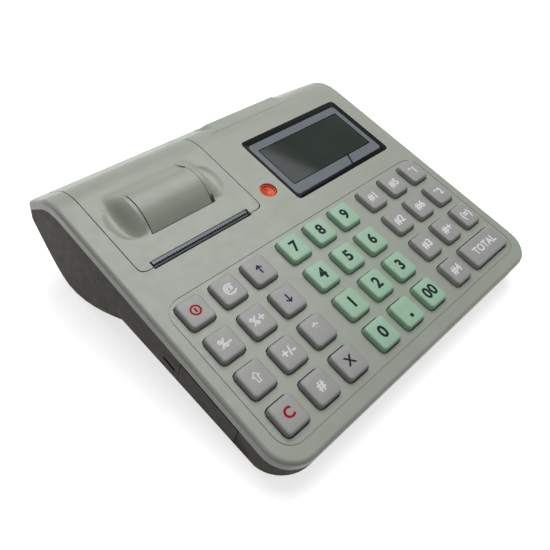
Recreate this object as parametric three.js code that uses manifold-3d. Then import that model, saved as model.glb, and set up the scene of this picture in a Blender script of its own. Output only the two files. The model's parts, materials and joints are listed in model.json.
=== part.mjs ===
// A wedge-shaped portable ticket register: a keypad, a display and a drop-in paper printer under a
// hinged lid. Millimetres. The case is drawn in the frame of its keypad panel: x to the operator's
// right from the middle of the case, y to the rear from the rear key row's centre line, z out of the
// panel. The whole is then turned by the panel's tilt and stood on its feet.
import * as THREE from 'three';
import { mergeVertices } from 'three/addons/utils/BufferGeometryUtils.js';
import Module from 'manifold-3d';

const wasm = await Module();
wasm.setup();

// Case
const panelTilt = THREE.MathUtils.degToRad(15.3);
const lidFront = 29.6;
const lidLead = 15.6;
const leverCrestReach = 14.8;
const leverLength = 21.3;
const humpRun = 10.5;
const rollDepth = 33;
const leverFront = lidFront + lidLead;
const humpCrest = leverFront + leverCrestReach;
const leverRear = leverFront + leverLength;
const rollStart = leverRear + humpRun;
const rearReach = rollStart + rollDepth;
const frontCornerRadius = 15;
const rearCornerReach = [34, 19];
const rearCornerDip = 5;
const hingeCornerRadius = 3;
const coverEdgeRadius = 2;
const coverHollowRadius = 0.6;
const coverRimDepth = 7;
const wall = 2.5;
const seam = 0.3;
const cutOverrun = 4;
const rollRadius = 26;
const rollAngle = THREE.MathUtils.degToRad(45);
const baseInset = 0.1;
const baseEdgeRadius = 1.2;
const frontLipDepth = 13.6;
const frontFootingShift = 17;
const frontDepth = 21.9;
const archReach = 29;
const archDepth = 29.1;
const bulgeInset = 36;
const bulgeReach = rearReach - bulgeInset;
const bulgeDepth = 58.6;
const rearLipDepth = 31.5;
const bulgeCurveShares = {
  rise: [0.32, 0.453], dip: [0.7, 0.943], turn: [0.27, 0.09], climb: [0.67, 0.505],
};

// Keys
const keyWidth = 13.6;
const keyDepth = 14.8;
const keyHeight = 3;
const keyCorner = 2.2;
const keyEdge = 1.1;
const keyPitchX = 18.8;
const keyPitchY = 19.46;
const keyBlockPitch = 61.1;
const keyHoleGap = 0.4;
const keyFlange = 1.2;
const keyFlangeThickness = 1.2;
const keyFlangeGap = 0.4;
const keyTravel = 1.5;
const keyRows = [
  [['power', 'price', 'up'], ['7', '8', '9'], ['department_1', 'department_5', 'payment_1']],
  [['percent_minus', 'percent_plus', 'down'], ['4', '5', '6'], ['department_2', 'department_6', 'payment_2']],
  [['shift', 'void', 'star'], ['1', '2', '3'], ['department_3', 'department_plus', 'subtotal']],
  [['clear', 'lookup', 'multiply'], ['0', 'point', '00'], ['department_4', 'total']],
];
const grooveWidth = 0.4;
const grooveDepth = 0.35;
const grooveSideMargin = 10.75;
const grooveFrontMargin = 11.52;
const grooveSide = keyBlockPitch + keyPitchX + grooveSideMargin;
const grooveFront = (keyRows.length - 1) * keyPitchY + grooveFrontMargin;
const grooveRear = 10.4;
const grooveCorner = 9;

// Outline of the case, round the keypad's groove
const sideRim = 6.2;
const frontRim = 7.5;
const caseWidth = 2 * (grooveSide + sideRim);
const frontReach = grooveFront + frontRim;
const frontFootingReach = frontReach - frontFootingShift;

// Keypad mat and main board
const domeGap = 0.3;
const domeHeight = 1.1;
const domeRadius = 4.2;
const domeTopRadius = 3.2;
const matThickness = 1;
const matSideInset = 1.65;
const matFrontInset = 2.4;
const matSide = grooveSide - matSideInset;
const matFront = grooveFront - matFrontInset;
const matRear = 9;
const boardThickness = 1.6;
const boardSideReach = 0.85;
const boardFrontInset = 0.9;
const boardSide = grooveSide + boardSideReach;
const boardFront = grooveFront - boardFrontInset;
const boardRear = 19;
const chipSize = [14, 14, 1.4];
const chipPlaces = [[-30, -20], [18, -36], [52, -12]];

// Display
const windowInset = 50.45;
const windowReach = 46.1;
const windowCentre = [caseWidth / 2 - windowInset, windowReach];
const windowSize = [76.5, 47.8];
const windowCorner = 2;
const windowThickness = 1.2;
const windowSink = 0.35;
const windowGap = 0.25;
const viewShift = [-0.4, 0.25];
const viewCentre = [windowCentre[0] + viewShift[0], windowCentre[1] + viewShift[1]];
const viewSize = [63.7, 28.3];
const displayPadThickness = 1.5;
const lcdMargin = 3;
const lcdThickness = 4.6;
const glassThickness = 1.1;

// Seal plug
const plugInset = 10.2;
const plugDrop = 10;
const plugCentre = [windowCentre[0] - windowSize[0] / 2 - plugInset, windowCentre[1] - plugDrop];
const plugRadius = 4.6;
const plugSink = 0.7;
const plugFlange = 1;
const plugFlangeThickness = 1.2;
const plugGap = 0.15;

// Rear display hood
const hoodInset = 64.7;
const hoodCentre = caseWidth / 2 - hoodInset;
const hoodWidth = 57;
const hoodRamp = 6;
const hoodRampShares = [[0, 0], [0.3, 0.2], [0.7, 0.8], [1, 1]];
const hoodSink = 0.3;
const hoodRootShare = 0.7;
const hoodFrontInset = 24.7;
const hoodCrestInset = 14;
const hoodHeight = 2.9;
const hoodFootInset = 0.8;
const hoodFootSink = 1.6;
const hoodFront = rearReach - hoodFrontInset;
const rearWindowSize = [50, 15];
const rearWindowThickness = 1.2;
const rearWindowSink = 0.3;
const rearViewSize = [44, 9.5];
const rearLcdThickness = 3;
const rearLcdGap = 0.4;

// Paper lid, slot and lever
const laneInset = 46.5;
const laneCentre = laneInset - caseWidth / 2;
const lidShift = 0.9;
const lidCentre = laneCentre + lidShift;
const lidWidth = 73.2;
const lidCorner = 4;
const lidGap = 0.45;
const slotWidth = 59;
const slotFront = 28.2;
const lidLipFront = 32.8;
const hingeInset = 5;
const hingeY = rearReach - hingeInset;
const hingeZ = -24.5;
const hingeBarrelRadius = 4.4;
const hingeSweepGap = 1.6;
const hingePinRadius = 1.5;
const hingePinLength = 2;
const hingePinGap = 0.3;
const cheekThickness = 2.5;
const cheekInset = 15;
const cheekFront = rearReach - cheekInset;
const cheekDepth = 28.5;
const barBack = 32.5;
const barFront = 30.7;
const barEndGap = 1;
const ledgeFront = 29.7;
const barThickness = 0.8;
const barSink = 0.2;
const barTooth = 0.4;
const barToothPitch = 1.6;
const humpDrop = 0.3;
const humpSpread = 7.4;
const moundMargin = 1;
const moundLead = 2;
const dishInset = 5.4;
const dishReach = 9.6;
const dishDepth = 1.7;
const dishHalf = 12.5;
const dishShift = 1.5;
const leverWidth = 35.7;
const leverShift = 0.35;
const leverCentre = laneCentre - leverShift;
const leverGap = 0.45;
const leverRadius = 18;
const leverCrest = 7.5;
const leverTuck = 0.9;
const leverNotch = [1.8, 3, 1.2];
const leverThickness = 2;
const leverPinRadius = 0.9;
const leverPinLength = 1.4;
const leverPinInset = 1.3;
const leverPinDrop = 1.6;
const pocketDepth = 6;
const pocketWall = 1.6;
const deckDrop = 1.4;
const deckGap = 1;

// Printer
const platenRadius = 5;
const platenHalf = 28.5;
const platenY = 35.1;
const platenZ = -9.6;
const shaftRadius = 2;
const shaftGap = 0.25;
const lugThickness = 2;
const lugHalf = 3.6;
const lugInset = 0.8;
const gearModule = 0.6;
const gearWidth = 2.6;
const gearGap = 0.6;
const gearBacklash = 0.25;
const pressGap = 0.08;
const axleGap = 0.08;
const platenTeeth = 18;
const driveTeeth = 14;
const meshAngle = THREE.MathUtils.degToRad(233);
const toothShares = { root: 0.3, tip: 0.12, addendum: 0.85, dedendum: 1.25 };
const headThickness = 2.6;
const headTop = -4.6;
const headGap = 0.7;
const chassisFloor = -22.6;
const chassisFloorThickness = 1.4;
const chassisFront = 22;
const chassisTop = -5.5;
const chassisWall = 1.8;
const binInset = 40;
const binY = rearReach - binInset;
const binZ = -29;
const binRadius = 20;
const binTop = -12.5;
const binSideTop = -17;

// Battery, doors, ports and feet
const batterySize = [54, 38, 8.5];
const batteryInset = 61.65;
const batteryX = caseWidth / 2 - batteryInset;
const batteryV = 2;
const batteryGap = 0.5;
const doorMargin = 3;
const doorThickness = 1.8;
const doorGap = 0.4;
const batteryRibHeight = 5;
const hatchFront = -49.2;
const hatchRear = -12.7;
const hatchTopGap = 1.2;
const hatchFootRise = 3;
const hatchThickness = 1.6;
const hatchGap = 0.3;
const portBlockSize = [10, 30, 5.4];
const cardSlotSize = [24.6, 2];
const cardSlotDepth = 7;
const usbCentre = [-5.7, -18.1];
const usbSize = [8, 2.2];
const usbShell = 0.5;
const usbDepth = 7;
const footRadius = 5;
const footDrop = 1.5;
const footInset = 20.65;
const frontFootInset = 23;
const footX = caseWidth / 2 - footInset;
const frontFootY = frontFootInset - frontReach;
const rearFootInset = 35;
const rearFootY = rearReach - rearFootInset;
const footGrip = 4;

// Finishes
const coverGrey = finish(0xa0a89b, 0.62);
const baseGrey = finish(0x45413c, 0.7);
const keyGrey = finish(0x8a8886, 0.55);
const keyGreen = finish(0x92b79a, 0.5);
const keySilicone = finish(0x55585a, 0.8);
const windowBlack = finish(0x0e141a, 0.12);
const lcdGreen = finish(0x2c3830, 0.25);
const sealOrange = finish(0xe24a10, 0.3);
const barGrey = finish(0x8a9296, 0.35, 0.7);
const steel = finish(0xb4b8ba, 0.35, 1);
const rubberBlack = finish(0x1c1c1c, 0.85);
const chassisBlack = finish(0x26282a, 0.6);
const gearWhite = finish(0xe4e2da, 0.5);
const boardGreen = finish(0x1f5a3a, 0.5);
const batteryBlue = finish(0x2f4a78, 0.5);

function finish(color, roughness, metalness = 0) {
  return new THREE.MeshStandardMaterial({ color, roughness, metalness });
}

// Solids

function solidOf(geometry) {
  const bare = new THREE.BufferGeometry();
  bare.setAttribute('position', geometry.getAttribute('position'));
  if (geometry.index) bare.setIndex(geometry.index);
  const merged = mergeVertices(bare, 1e-4);
  return new wasm.Manifold(new wasm.Mesh({
    numProp: 3,
    vertProperties: merged.attributes.position.array,
    triVerts: new Uint32Array(merged.index.array),
  }));
}

function geometryOf(solid) {
  const mesh = solid.getMesh();
  const geometry = new THREE.BufferGeometry();
  geometry.setAttribute('position', new THREE.BufferAttribute(mesh.vertProperties, 3));
  geometry.setIndex(new THREE.BufferAttribute(mesh.triVerts, 1));
  return geometry;
}

function join(first, ...others) {
  return others.reduce((sum, each) => sum.add(each), first);
}

function cut(first, ...others) {
  return others.reduce((rest, each) => rest.subtract(each), first);
}

// A closed solid through rings of equal length, from the lowest ring to the highest. Each ring runs up
// the right side and back down the left, so its ends are closed by strips from side to side, which
// follow any bend in y.
function ringSolid(rings) {
  const count = rings[0].length;
  const half = count / 2;
  const positions = rings.flat(2);
  const faces = [];
  for (let k = 0; k + 1 < rings.length; k++) {
    for (let i = 0; i < count; i++) {
      const a = k * count + i;
      const b = k * count + ((i + 1) % count);
      faces.push(a, b, b + count, a, b + count, a + count);
    }
  }
  const top = (rings.length - 1) * count;
  for (let i = 0; i + 1 < half; i++) {
    const far = count - 1 - i;
    faces.push(i, far, i + 1, i + 1, far, far - 1);
    faces.push(top + i, top + i + 1, top + far, top + i + 1, top + far - 1, top + far);
  }
  const geometry = new THREE.BufferGeometry();
  geometry.setAttribute('position', new THREE.Float32BufferAttribute(positions, 3));
  geometry.setIndex(faces);
  return solidOf(geometry);
}

// A rounded rectangle as such a ring, drawn in by an inset, with its heights from a function of its
// place. Its corners are the front ones, the right one at the rear, and the left one at the rear. A
// dip makes the right one at the rear lean in over its whole reach.
function roundedRing({ x = 0, low, high, half, corners, dip = 0, inset, steps, stations = [] }, heightAt) {
  const right = [];
  const [frontCorner, rearCorner, leftCorner] = corners;
  const arc = ([reachX, reachY], centreX, centreY, from) => {
    for (let i = 0; i <= steps; i++) {
      const angle = from + (i / steps) * (Math.PI / 2);
      right.push([centreX + Math.max(reachX - inset, 0) * Math.cos(angle),
        centreY + Math.max(reachY - inset, 0) * Math.sin(angle)]);
    }
  };
  const front = Math.max(frontCorner, inset);
  const [rearX, rearY] = rearCorner.map((reach) => Math.max(reach, inset));
  const left = Math.max(leftCorner, inset);
  arc([frontCorner, frontCorner], half - front, low + front, -Math.PI / 2);
  right.push(...stations.map((y) => [half - inset, y]));
  if (dip === 0) arc(rearCorner, half - rearX, high - rearY, 0);
  for (let i = 0; dip > 0 && i <= steps; i++) {
    const t = i / steps;
    right.push([half - inset - (rearX - inset) * t ** 2,
      high - inset - (rearY - inset) * (1 - t) ** 2 - 2 * dip * t * (1 - t)]);
  }
  const across = right.map(([a, b]) => {
    const past = b - (high - left);
    if (past > 0) return [half - left + Math.sqrt(Math.max((left - inset) ** 2 - past ** 2, 0)), b];
    return [b > high - rearY ? half - inset : a, b];
  });
  const ring = [...right, ...across.reverse().map(([a, b]) => [-a, b])];
  return ring.map(([a, b]) => [x + a, b, heightAt(b)]);
}

// A rounded block between two heights, widened or drawn in at each of its levels of [inset, z].
function roundedBlock([x, y], [width, depth], corner, levels, steps = 2) {
  return ringSolid(levels.map(([inset, z]) => roundedRing({
    x, low: y - depth / 2, high: y + depth / 2, half: width / 2, corners: [corner, [corner, corner], corner],
    inset, steps,
  }, () => z)));
}

function box(x0, x1, y0, y1, z0, z1) {
  const geometry = new THREE.BoxGeometry(x1 - x0, y1 - y0, z1 - z0);
  return solidOf(geometry.translate((x0 + x1) / 2, (y0 + y1) / 2, (z0 + z1) / 2));
}

// An outline of [y, z] points carried along x.
function alongX(points, x0, x1) {
  const shape = new THREE.Shape(points.map(([y, z]) => new THREE.Vector2(y, z)));
  const geometry = new THREE.ExtrudeGeometry(shape, { depth: x1 - x0, bevelEnabled: false });
  const turn = new THREE.Matrix4().makeBasis(
    new THREE.Vector3(0, 1, 0), new THREE.Vector3(0, 0, 1), new THREE.Vector3(1, 0, 0));
  return solidOf(geometry.applyMatrix4(turn).translate(x0, 0, 0));
}

function rodX(radius, x0, x1, y, z, sides = 16) {
  const geometry = new THREE.CylinderGeometry(radius, radius, x1 - x0, sides);
  return solidOf(geometry.rotateZ(Math.PI / 2).translate((x0 + x1) / 2, y, z));
}

function rodZ(radius, topRadius, x, y, z0, z1, sides = 24) {
  const geometry = new THREE.CylinderGeometry(topRadius, radius, z1 - z0, sides);
  return solidOf(geometry.rotateX(Math.PI / 2).translate(x, y, (z0 + z1) / 2));
}

// Case surfaces

// Height of the panel's surface, which rolls over and falls away at the rear.
function roofZ(y) {
  const along = y - rollStart;
  const bend = rollRadius * Math.sin(rollAngle);
  if (along <= 0) return 0;
  if (along < bend) return Math.sqrt(rollRadius ** 2 - along ** 2) - rollRadius;
  return rollRadius * Math.cos(rollAngle) - rollRadius - (along - bend) * Math.tan(rollAngle);
}

function partingZ(y) {
  return roofZ(y) - coverRimDepth;
}

// The underside: a short front lip, a flat slope up from the front footing, then the paper bulge.
const underside = new THREE.Path();
const bulgeRun = bulgeReach - archReach;
const bulgeDrop = bulgeDepth - archDepth;
const tailRun = rearReach - bulgeReach;
const tailRise = bulgeDepth - rearLipDepth;
underside.moveTo(-frontReach, -frontLipDepth);
underside.lineTo(-frontFootingReach, -frontDepth);
underside.lineTo(archReach, -archDepth);
underside.bezierCurveTo(
  archReach + bulgeCurveShares.rise[0] * bulgeRun, -archDepth - bulgeCurveShares.rise[1] * bulgeDrop,
  archReach + bulgeCurveShares.dip[0] * bulgeRun, -archDepth - bulgeCurveShares.dip[1] * bulgeDrop,
  bulgeReach, -bulgeDepth);
underside.bezierCurveTo(
  bulgeReach + bulgeCurveShares.turn[0] * tailRun, -bulgeDepth - bulgeCurveShares.turn[1] * tailRise,
  bulgeReach + bulgeCurveShares.climb[0] * tailRun, -bulgeDepth + bulgeCurveShares.climb[1] * tailRise,
  rearReach, -rearLipDepth);

function undersideZ(y) {
  const curve = underside.curves.find((each) => y <= each.getPoint(1).x) ?? underside.curves.at(-1);
  let low = 0;
  let high = 1;
  while (high - low > 1e-7) {
    const middle = (low + high) / 2;
    if (curve.getPoint(middle).x < y) low = middle;
    else high = middle;
  }
  return curve.getPoint(low).y;
}

const cornerSteps = 10;
const cornerStart = rearReach - rearCornerReach[1];
const rollStations = [0, 1, 2, 3, 4]
  .map((i) => rollStart + rollRadius * Math.sin((i / 4) * rollAngle))
  .filter((y) => y < cornerStart);
const bulgeStations = [0, 1, 2, 3, 4, 5, 6, 7, 8, 9]
  .map((i) => archReach + (i / 10) * (rearReach - archReach));

function caseRing(inset, stations, heightAt) {
  return roundedRing({
    low: -frontReach, high: rearReach, half: caseWidth / 2,
    corners: [frontCornerRadius, rearCornerReach, hingeCornerRadius], dip: rearCornerDip, inset,
    steps: cornerSteps, stations,
  }, heightAt);
}

const quarter = [0, 1, 2, 3].map((i) => (i / 3) * (Math.PI / 2));

// The cover's outer block, or its hollow when sunk by a wall.
function roofSolid(sink, radius, bottomAt) {
  const rings = [caseRing(sink, rollStations, bottomAt)];
  for (const angle of quarter) {
    const inset = sink + radius * (1 - Math.cos(angle));
    rings.push(caseRing(inset, rollStations, (y) => roofZ(y) - sink - radius * (1 - Math.sin(angle))));
  }
  return ringSolid(rings);
}

// The base's outer block, its hollow, or the block lowered by a gap.
function bellySolid(inset, lift, topAt) {
  const stations = [...bulgeStations, ...rollStations]
    .filter((y) => y < cornerStart)
    .sort((a, b) => a - b);
  const edgeAt = (y) => Math.min(baseEdgeRadius, (partingZ(y) - undersideZ(y)) / 2);
  const rings = quarter.map((angle) => caseRing(
    inset + baseEdgeRadius * (1 - Math.sin(angle)), stations,
    (y) => undersideZ(y) + lift + edgeAt(y) * (1 - Math.cos(angle))));
  rings.push(caseRing(inset, stations, topAt));
  return ringSolid(rings);
}

// A small frame set on a sloping face: x stays, v runs up the face to the rear, w stands out of it.
function onFace(solid, y, z, slope) {
  const turn = new THREE.Matrix4().makeRotationX(slope);
  turn.setPosition(0, y, z);
  return solidOf(geometryOf(solid).applyMatrix4(turn));
}

// Pieces of the case

const lidLeft = lidCentre - lidWidth / 2;
const lidRight = lidCentre + lidWidth / 2;
const slotLeft = laneCentre - slotWidth / 2;
const slotRight = laneCentre + slotWidth / 2;
const below = -bulgeDepth - cutOverrun;
const above = leverCrest + cutOverrun;

function keyPlaces() {
  const places = [];
  keyRows.forEach((blocks, row) => blocks.forEach((names, block) => names.forEach((name, column) => {
    const span = name === 'total' ? 1 : 0;
    places.push({
      name: `key_${name}`,
      x: (block - 1) * keyBlockPitch + (column - 1 + span / 2) * keyPitchX,
      y: -row * keyPitchY,
      width: keyWidth + span * keyPitchX,
      material: block === 1 ? keyGreen : keyGrey,
    });
  })));
  return places;
}
const keys = keyPlaces();

function onRoof(y, lift) {
  return [y, roofZ(y) + lift];
}
const hoodCrest = onRoof(rearReach - hoodCrestInset, hoodHeight);
const hoodFoot = onRoof(rearReach - hoodFootInset, -hoodFootSink);
const hoodRise = Math.atan2(hoodFoot[1] - hoodCrest[1], hoodFoot[0] - hoodCrest[0]);
const hoodMiddle = [(hoodCrest[0] + hoodFoot[0]) / 2, (hoodCrest[1] + hoodFoot[1]) / 2];

function onHood(solid) {
  return onFace(solid, hoodMiddle[0], hoodMiddle[1], hoodRise);
}

function lidPrism(grow, frontY) {
  const outline = [
    [lidLeft - grow + lidCorner, frontY], [lidRight + grow - lidCorner, frontY],
    [lidRight + grow, frontY + lidCorner], [lidRight + grow, rearReach + cutOverrun],
    [lidLeft - grow, rearReach + cutOverrun], [lidLeft - grow, frontY + lidCorner],
  ];
  const shape = new THREE.Shape();
  shape.moveTo(...outline[0]);
  shape.lineTo(...outline[1]);
  shape.quadraticCurveTo(lidRight + grow, frontY, ...outline[2]);
  shape.lineTo(...outline[3]);
  shape.lineTo(...outline[4]);
  shape.lineTo(...outline[5]);
  shape.quadraticCurveTo(lidLeft - grow, frontY, ...outline[0]);
  const settings = { depth: above - below, bevelEnabled: false, curveSegments: 4 };
  const geometry = new THREE.ExtrudeGeometry(shape, settings);
  return solidOf(geometry.translate(0, 0, below));
}

function topCover() {
  const outer = roofSolid(0, coverEdgeRadius, (y) => partingZ(y) + seam);
  const hollow = roofSolid(wall, coverHollowRadius, (y) => partingZ(y) - cutOverrun);
  const hoodBack = onRoof(hoodFoot[0] - wall, -hoodRootShare * wall);
  const hoodDip = onRoof(hoodCrest[0], -hoodRootShare * wall);
  const hoodRoot = onRoof(hoodFront, -hoodRootShare * wall);
  const hoodLip = onRoof(hoodFront, 0);
  const [crestY, crestZ] = hoodCrest;
  const low = roofZ(crestY) - hoodSink;
  const hoodRing = (x, share) => [hoodLip, hoodRoot, hoodDip, hoodBack, hoodFoot,
    [crestY, low + share * (crestZ - low)]].map(([y, z]) => [x, y, z]);
  const ramp = (side) => hoodRampShares.map(([along, share]) => hoodRing(
    hoodCentre + side * (hoodWidth / 2 + hoodRamp / 2 - along * hoodRamp), share));
  const hood = loft([...ramp(-1), ...ramp(1).reverse()]);
  const pad = roundedBlock(windowCentre, [windowSize[0] + 2 * wall, windowSize[1] + 2 * wall], windowCorner,
    [[0, -wall - displayPadThickness], [0, -wall / 2]]);
  const cheek = (x) => alongX([
    [cheekFront, roofZ(cheekFront) - wall / 2], [cheekFront + wall, hingeZ],
    [hingeY - wall, -cheekDepth], [rearReach - coverEdgeRadius, -cheekDepth],
    [rearReach - coverEdgeRadius, roofZ(rearReach - coverEdgeRadius) - wall / 2],
  ], x, x + cheekThickness);
  const shell = join(cut(outer, hollow), hood, pad,
    cheek(lidLeft - lidGap - cheekThickness), cheek(lidRight + lidGap));
  const pinHole = rodX(hingePinRadius + hingePinGap, lidLeft - lidGap - hingePinLength - hingePinGap,
    lidRight + lidGap + hingePinLength + hingePinGap, hingeY, hingeZ);
  const recess = roundedBlock(windowCentre, windowSize, windowCorner,
    [[-windowGap, -windowSink - windowThickness - windowGap], [-windowGap, cutOverrun]]);
  const view = roundedBlock(viewCentre, viewSize, windowCorner, [[0, below], [0, cutOverrun]], 1);
  const plugBore = rodZ(plugRadius + plugGap, plugRadius + plugGap, ...plugCentre, below, cutOverrun);
  const slot = box(slotLeft, slotRight, slotFront, lidFront + lidCorner, below, above);
  const rearRecess = onHood(roundedBlock([hoodCentre, 0], rearWindowSize, windowCorner, [
    [-windowGap, -rearWindowSink - rearWindowThickness - windowGap], [-windowGap, cutOverrun]]));
  const rearView = onHood(roundedBlock([hoodCentre, 0], rearViewSize, windowCorner, [
    [0, -2 * wall], [0, cutOverrun]], 1));
  const grooveBlock = (levels) => roundedBlock([0, (grooveRear - grooveFront) / 2],
    [2 * grooveSide, grooveRear + grooveFront], grooveCorner, levels, cornerSteps);
  const groove = cut(grooveBlock([[0, -grooveDepth], [0, cutOverrun]]),
    grooveBlock([[grooveWidth, -grooveDepth - cutOverrun], [grooveWidth, 2 * cutOverrun]]));
  const holes = keys.map(({ x, y, width }) => roundedBlock([x, y], [width, keyDepth], keyCorner,
    [[-keyHoleGap, below], [-keyHoleGap, cutOverrun]]));
  return cut(shell, lidPrism(lidGap, lidFront - lidGap), slot, pinHole, recess, view, plugBore,
    rearRecess, rearView, groove, ...holes);
}

// The flat slope of the underside, on which the battery door lies.
const slopeAngle = Math.atan2(frontDepth - archDepth, frontFootingReach + archReach);

function onUnderside(solid) {
  return onFace(solid, 0, undersideZ(0), slopeAngle);
}

const doorX = [batteryX - batterySize[0] / 2 - doorMargin, batteryX + batterySize[0] / 2 + doorMargin];
const doorV = [batteryV - batterySize[1] / 2 - doorMargin, batteryV + batterySize[1] / 2 + doorMargin];

function hatchOutline(grow, topGrow) {
  const foot = (y) => undersideZ(y) + hatchFootRise - grow;
  const top = -coverRimDepth - hatchTopGap + topGrow;
  return [[hatchFront - grow, foot(hatchFront)], [hatchRear + grow, foot(hatchRear)],
    [hatchRear + grow, top], [hatchFront - grow, top]];
}
const sideX = -caseWidth / 2 + baseInset;

function baseShell() {
  const outer = bellySolid(baseInset, 0, partingZ);
  const hollow = bellySolid(baseInset + wall, wall, (y) => partingZ(y) + cutOverrun);
  const aroundBattery = (grow, z0, z1) => {
    const halfX = batterySize[0] / 2 + batteryGap + grow;
    const halfV = batterySize[1] / 2 + batteryGap + grow;
    return box(batteryX - halfX, batteryX + halfX, batteryV - halfV, batteryV + halfV, z0, z1);
  };
  const rib = onUnderside(cut(aroundBattery(wall, wall / 2, wall + batteryRibHeight),
    aroundBattery(0, -cutOverrun, wall + batteryRibHeight + cutOverrun)));
  const doorHole = onUnderside(box(doorX[0] - doorGap, doorX[1] + doorGap,
    doorV[0] - doorGap, doorV[1] + doorGap, -cutOverrun, doorThickness + seam));
  const batteryHole = onUnderside(aroundBattery(0, -cutOverrun, 2 * wall));
  const hatchHole = alongX(hatchOutline(hatchGap, hatchTopGap + cutOverrun),
    sideX - cutOverrun, sideX + 2 * wall);
  const usbHole = box(sideX - cutOverrun, sideX + 2 * wall, usbCentre[0] - usbSize[0] / 2,
    usbCentre[0] + usbSize[0] / 2, usbCentre[1] - usbSize[1] / 2, usbCentre[1] + usbSize[1] / 2);
  const hingeRelief = rodX(hingeBarrelRadius + hingeSweepGap, lidLeft - lidGap, lidRight + lidGap,
    hingeY, hingeZ, 24);
  const cheekRelief = (x) => box(x - seam, x + cheekThickness + seam,
    cheekFront, rearReach - coverEdgeRadius + seam, -cheekDepth - seam, 0);
  return cut(join(cut(outer, hollow), rib), doorHole, batteryHole, hatchHole, usbHole, hingeRelief,
    cheekRelief(lidLeft - lidGap - cheekThickness), cheekRelief(lidRight + lidGap));
}

function batteryDoor() {
  return onUnderside(box(...doorX, ...doorV, 0, doorThickness));
}

function batteryPack() {
  const lift = doorThickness + batteryGap;
  return onUnderside(roundedBlock([batteryX, batteryV], [batterySize[0], batterySize[1]], windowCorner,
    [[0, lift], [0, lift + batterySize[2]]]));
}

function sideHatch() {
  return alongX(hatchOutline(0, 0), sideX, sideX + hatchThickness);
}

// The table's height under the panel's frame, where the feet stand.
const lowest = Math.min(...bulgeStations.concat(-frontFootingReach, bulgeReach)
  .map((y) => y * Math.sin(panelTilt) + undersideZ(y) * Math.cos(panelTilt)));
const standing = footDrop - lowest;

function foot(x, y) {
  const up = new THREE.Vector3(0, Math.sin(panelTilt), Math.cos(panelTilt));
  const base = new THREE.Vector3(x, y, -(standing + y * Math.sin(panelTilt)) / Math.cos(panelTilt));
  const rise = (undersideZ(y) - base.z) * Math.cos(panelTilt) + footGrip;
  const middle = base.addScaledVector(up, rise / 2);
  const rod = new THREE.CylinderGeometry(footRadius, footRadius, rise, 20);
  const stood = rod.rotateX(Math.PI / 2 - panelTilt).translate(...middle);
  return cut(solidOf(stood), bellySolid(baseInset, -seam, partingZ));
}

// Keypad

function keyCap(width) {
  const flangeTop = -wall - keyFlangeGap;
  return roundedBlock([0, 0], [width, keyDepth], keyCorner, [
    [-keyFlange, flangeTop - keyFlangeThickness], [-keyFlange, flangeTop], [0, flangeTop],
    [0, keyHeight - keyEdge], [keyEdge / 3, keyHeight - keyEdge / 3], [keyEdge, keyHeight],
  ]);
}

const domeTop = -wall - keyFlangeGap - keyFlangeThickness - keyTravel - domeGap;
const matTop = domeTop - domeHeight;
const boardTop = matTop - matThickness - seam;
const boardBottom = boardTop - boardThickness;

function keypadMat() {
  const sheet = box(-matSide, matSide, -matFront, matRear, matTop - matThickness, matTop);
  return join(sheet, ...keys.map(({ x, y }) => rodZ(domeRadius, domeTopRadius, x, y,
    matTop - matThickness / 2, domeTop, 8)));
}

function mainBoard() {
  const [chipX, chipY, chipZ] = chipSize;
  const chips = chipPlaces.map(([x, y]) => box(x - chipX / 2, x + chipX / 2, y - chipY / 2, y + chipY / 2,
    boardBottom - chipZ, boardBottom + boardThickness / 2));
  return join(box(-boardSide, boardSide, -boardFront, boardRear, boardBottom, boardTop), ...chips);
}

// Display, plug and rear display

function displayWindow() {
  return roundedBlock(windowCentre, windowSize, windowCorner,
    [[0, -windowSink - windowThickness], [0, -windowSink]]);
}

function lcdModule() {
  const top = -wall - displayPadThickness - seam;
  const [width, depth] = viewSize;
  const frame = [width + 2 * lcdMargin, depth + 2 * lcdMargin];
  return join(
    roundedBlock(viewCentre, frame, windowCorner, [[0, top - lcdThickness], [0, top]], 1),
    roundedBlock(viewCentre, viewSize, windowCorner,
      [[seam, top - glassThickness], [seam, top + glassThickness]], 1));
}

function sealPlug() {
  const flangeTop = -wall - seam;
  const flange = plugRadius + plugFlange;
  return join(
    rodZ(plugRadius, plugRadius, ...plugCentre, flangeTop - plugFlangeThickness / 2, -plugSink),
    rodZ(flange, flange, ...plugCentre, flangeTop - plugFlangeThickness, flangeTop));
}

function customerDisplay() {
  const face = -rearWindowSink - rearWindowThickness;
  return onHood(join(
    roundedBlock([hoodCentre, 0], rearWindowSize, windowCorner, [[0, face], [0, -rearWindowSink]], 1),
    roundedBlock([hoodCentre, 0], rearViewSize, windowCorner,
      [[rearLcdGap, face - rearLcdThickness], [rearLcdGap, face + rearWindowThickness / 2]], 1)));
}

// Paper lid

const leverLeft = leverCentre - leverWidth / 2;
const leverRight = leverCentre + leverWidth / 2;
const leverAxisZ = leverZ(leverRear - leverPinInset) - leverPinDrop;
const leverAxisY = leverRear - leverPinInset;

// Height of the lever's round back.
function leverZ(y) {
  return leverCrest - leverRadius + Math.sqrt(leverRadius ** 2 - (y - humpCrest) ** 2);
}

// A closed solid through like outlines of [x, y, z] points, one after another towards +x.
function loft(rings) {
  const count = rings[0].length;
  const faces = [];
  for (let k = 0; k + 1 < rings.length; k++) {
    for (let i = 0; i < count; i++) {
      const a = k * count + i;
      const b = k * count + ((i + 1) % count);
      faces.push(a, b, b + count, a, b + count, a + count);
    }
  }
  const outline = rings[0].map(([, y, z]) => new THREE.Vector2(y, z));
  const last = (rings.length - 1) * count;
  for (const [a, b, c] of THREE.ShapeUtils.triangulateShape(outline, [])) {
    faces.push(a, c, b, last + a, last + b, last + c);
  }
  const geometry = new THREE.BufferGeometry();
  geometry.setAttribute('position', new THREE.Float32BufferAttribute(rings.flat(2), 3));
  geometry.setIndex(faces);
  return solidOf(geometry);
}

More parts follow.
